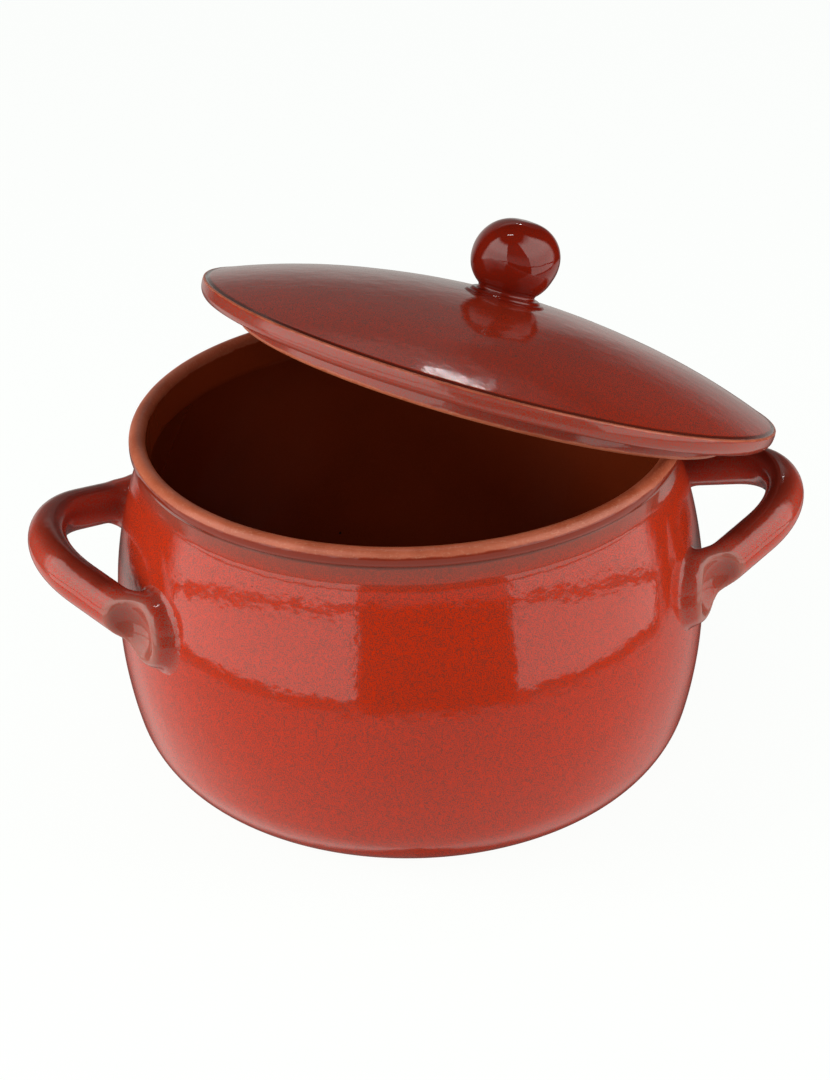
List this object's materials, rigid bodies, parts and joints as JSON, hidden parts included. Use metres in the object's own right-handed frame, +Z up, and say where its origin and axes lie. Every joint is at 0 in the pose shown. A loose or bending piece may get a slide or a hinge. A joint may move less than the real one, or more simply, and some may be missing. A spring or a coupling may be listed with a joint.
{
  "type": "soup tureen",
  "caption": "Round-bellied glazed earthenware soup tureen with coil handles and a loose domed lid with a ball knob, lid resting askew on the rim.",
  "frame": {"origin": "centre of the pot's flat underside", "axes": "+Z up along the pot's axis; X through the two handles, +X towards the right handle, on which the lid lies; +Y towards the back"},
  "size_m": [0.3377, 0.285, 0.2379],
  "materials": {
    "pot_glaze": "glossy mottled red-orange reactive glaze over terracotta, dark brown-red inside, bare rounded rim and foot",
    "handle_glaze": "glossy mottled red glaze, darker and browner on the upper faces",
    "lid_glaze": "glossy mottled brown-red glaze, worn to bare clay along the sharp edge and the flange's foot",
    "knob_glaze": "glossy dark red glaze"
  },
  "bodies": {
    "pot": {"pot_body": "pot_glaze", "handle_left": "handle_glaze", "handle_right": "handle_glaze"},
    "lid": {"lid": "lid_glaze", "lid_knob": "knob_glaze"}
  },
  "joints": [
    {"name": "lid_lift", "type": "slide", "parent": "pot", "child": "lid", "axis": [0, 0, 1], "range_m": [0, 0.15]}
  ]
}
